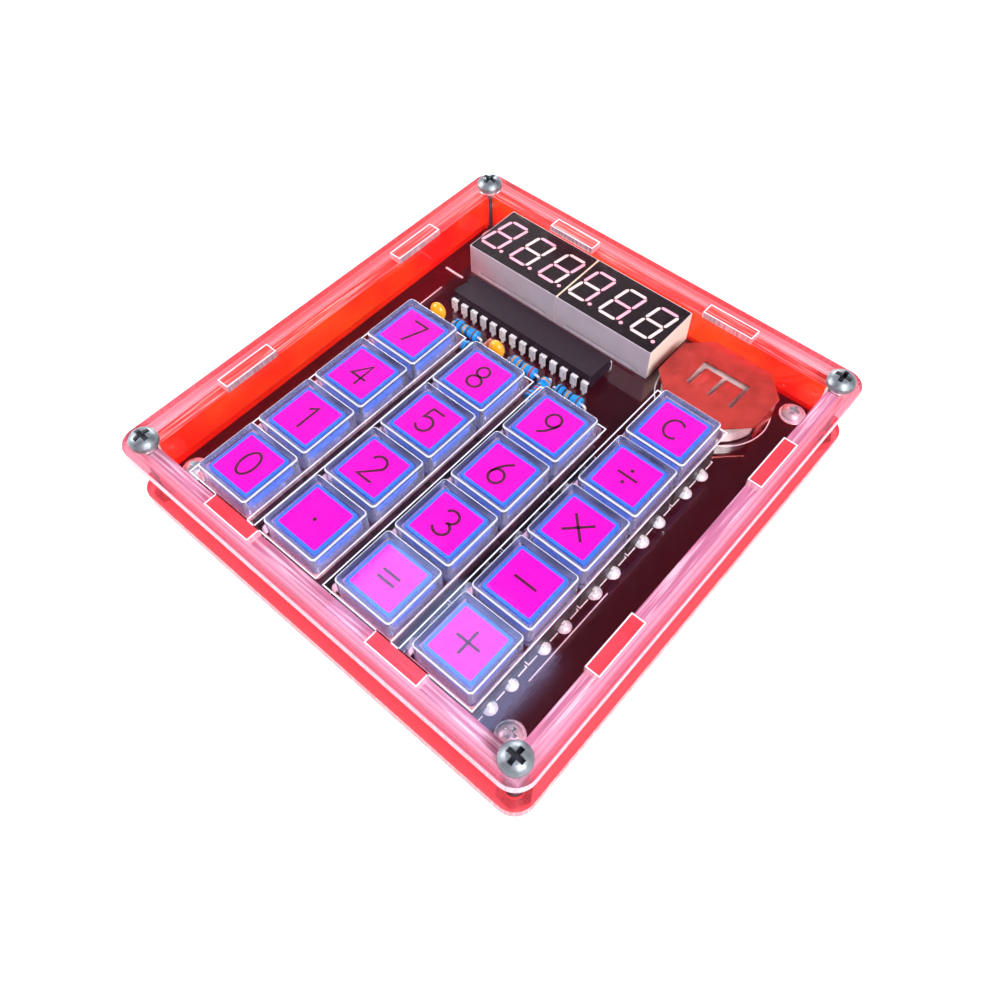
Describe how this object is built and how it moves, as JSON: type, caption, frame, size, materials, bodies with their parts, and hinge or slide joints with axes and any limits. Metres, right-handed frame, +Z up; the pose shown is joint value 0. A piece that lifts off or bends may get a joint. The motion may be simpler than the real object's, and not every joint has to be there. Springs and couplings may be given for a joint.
{
  "type": "pocket calculator",
  "caption": "Pocket calculator in a clear and red bolted plastic case, with sprung square keys, a digit display, circuit board and coin cell.",
  "frame": {"origin": "on the ground plane, under the centre of the case", "axes": "+X along a row of keys to the right, +Y from the keys to the display, +Z up through the key tops"},
  "size_m": [0.0914, 0.0974, 0.0228],
  "materials": {
    "clear_acrylic": "polished clear cast plastic with a faint pink tint",
    "red_acrylic": "polished transparent red cast plastic",
    "key_clear": "clear moulded plastic",
    "key_blue": "blue moulded plastic",
    "zinc_steel": "bright zinc plate",
    "nylon_white": "natural nylon",
    "board_black": "glossy black solder mask",
    "switch_black": "moulded plastic",
    "tin_plate": "tinned metal",
    "nickel_plate": "nickel plate",
    "display_grey": "moulded plastic with a black face",
    "chip_black": "fine-grained moulding compound",
    "resistor_blue": "dipped lacquer",
    "diode_glass": "small glass tube",
    "capacitor_orange": "dipped lacquer"
  },
  "bodies": {
    "case": {"top_plate": "clear_acrylic", "bottom_plate": "red_acrylic", "wall_left": "red_acrylic", "wall_right": "red_acrylic", "wall_front": "red_acrylic", "wall_back": "red_acrylic", "case_screws": "zinc_steel", "case_nuts": "zinc_steel", "circuit_board": "board_black", "board_screws": "zinc_steel", "board_nuts": "zinc_steel", "board_spacers": "nylon_white", "switch_housings": "switch_black", "switch_cover_plates": "tin_plate", "switch_pins": "tin_plate", "display_module_left": "display_grey", "display_module_right": "display_grey", "display_pins": "tin_plate", "chip_body": "chip_black", "chip_pins": "tin_plate", "battery_cell": "nickel_plate", "battery_clip": "nickel_plate", "resistors": "resistor_blue", "diode": "diode_glass", "ceramic_capacitors": "capacitor_orange", "component_leads": "tin_plate"},
    "key_0": {"key_0_cover": "key_clear", "key_0_base": "key_blue"},
    "key_1": {"key_1_cover": "key_clear", "key_1_base": "key_blue"},
    "key_4": {"key_4_cover": "key_clear", "key_4_base": "key_blue"},
    "key_7": {"key_7_cover": "key_clear", "key_7_base": "key_blue"},
    "key_point": {"key_point_cover": "key_clear", "key_point_base": "key_blue"},
    "key_2": {"key_2_cover": "key_clear", "key_2_base": "key_blue"},
    "key_5": {"key_5_cover": "key_clear", "key_5_base": "key_blue"},
    "key_8": {"key_8_cover": "key_clear", "key_8_base": "key_blue"},
    "key_equals": {"key_equals_cover": "key_clear", "key_equals_base": "key_blue"},
    "key_3": {"key_3_cover": "key_clear", "key_3_base": "key_blue"},
    "key_6": {"key_6_cover": "key_clear", "key_6_base": "key_blue"},
    "key_9": {"key_9_cover": "key_clear", "key_9_base": "key_blue"},
    "key_plus": {"key_plus_cover": "key_clear", "key_plus_base": "key_blue"},
    "key_minus": {"key_minus_cover": "key_clear", "key_minus_base": "key_blue"},
    "key_times": {"key_times_cover": "key_clear", "key_times_base": "key_blue"},
    "key_divide": {"key_divide_cover": "key_clear", "key_divide_base": "key_blue"},
    "key_clear": {"key_clear_cover": "key_clear", "key_clear_base": "key_blue"}
  },
  "joints": [
    {"name": "press_0", "type": "slide", "parent": "case", "child": "key_0", "axis": [0, 0, -1], "range_m": [0, 0.0003], "stiffness_N_per_m": 200, "springref_m": -0.0002},
    {"name": "press_1", "type": "slide", "parent": "case", "child": "key_1", "axis": [0, 0, -1], "range_m": [0, 0.0003], "stiffness_N_per_m": 200, "springref_m": -0.0002},
    {"name": "press_4", "type": "slide", "parent": "case", "child": "key_4", "axis": [0, 0, -1], "range_m": [0, 0.0003], "stiffness_N_per_m": 200, "springref_m": -0.0002},
    {"name": "press_7", "type": "slide", "parent": "case", "child": "key_7", "axis": [0, 0, -1], "range_m": [0, 0.0003], "stiffness_N_per_m": 200, "springref_m": -0.0002},
    {"name": "press_point", "type": "slide", "parent": "case", "child": "key_point", "axis": [0, 0, -1], "range_m": [0, 0.0003], "stiffness_N_per_m": 200, "springref_m": -0.0002},
    {"name": "press_2", "type": "slide", "parent": "case", "child": "key_2", "axis": [0, 0, -1], "range_m": [0, 0.0003], "stiffness_N_per_m": 200, "springref_m": -0.0002},
    {"name": "press_5", "type": "slide", "parent": "case", "child": "key_5", "axis": [0, 0, -1], "range_m": [0, 0.0003], "stiffness_N_per_m": 200, "springref_m": -0.0002},
    {"name": "press_8", "type": "slide", "parent": "case", "child": "key_8", "axis": [0, 0, -1], "range_m": [0, 0.0003], "stiffness_N_per_m": 200, "springref_m": -0.0002},
    {"name": "press_equals", "type": "slide", "parent": "case", "child": "key_equals", "axis": [0, 0, -1], "range_m": [0, 0.0003], "stiffness_N_per_m": 200, "springref_m": -0.0002},
    {"name": "press_3", "type": "slide", "parent": "case", "child": "key_3", "axis": [0, 0, -1], "range_m": [0, 0.0003], "stiffness_N_per_m": 200, "springref_m": -0.0002},
    {"name": "press_6", "type": "slide", "parent": "case", "child": "key_6", "axis": [0, 0, -1], "range_m": [0, 0.0003], "stiffness_N_per_m": 200, "springref_m": -0.0002},
    {"name": "press_9", "type": "slide", "parent": "case", "child": "key_9", "axis": [0, 0, -1], "range_m": [0, 0.0003], "stiffness_N_per_m": 200, "springref_m": -0.0002},
    {"name": "press_plus", "type": "slide", "parent": "case", "child": "key_plus", "axis": [0, 0, -1], "range_m": [0, 0.0003], "stiffness_N_per_m": 200, "springref_m": -0.0002},
    {"name": "press_minus", "type": "slide", "parent": "case", "child": "key_minus", "axis": [0, 0, -1], "range_m": [0, 0.0003], "stiffness_N_per_m": 200, "springref_m": -0.0002},
    {"name": "press_times", "type": "slide", "parent": "case", "child": "key_times", "axis": [0, 0, -1], "range_m": [0, 0.0003], "stiffness_N_per_m": 200, "springref_m": -0.0002},
    {"name": "press_divide", "type": "slide", "parent": "case", "child": "key_divide", "axis": [0, 0, -1], "range_m": [0, 0.0003], "stiffness_N_per_m": 200, "springref_m": -0.0002},
    {"name": "press_clear", "type": "slide", "parent": "case", "child": "key_clear", "axis": [0, 0, -1], "range_m": [0, 0.0003], "stiffness_N_per_m": 200, "springref_m": -0.0002}
  ]
}
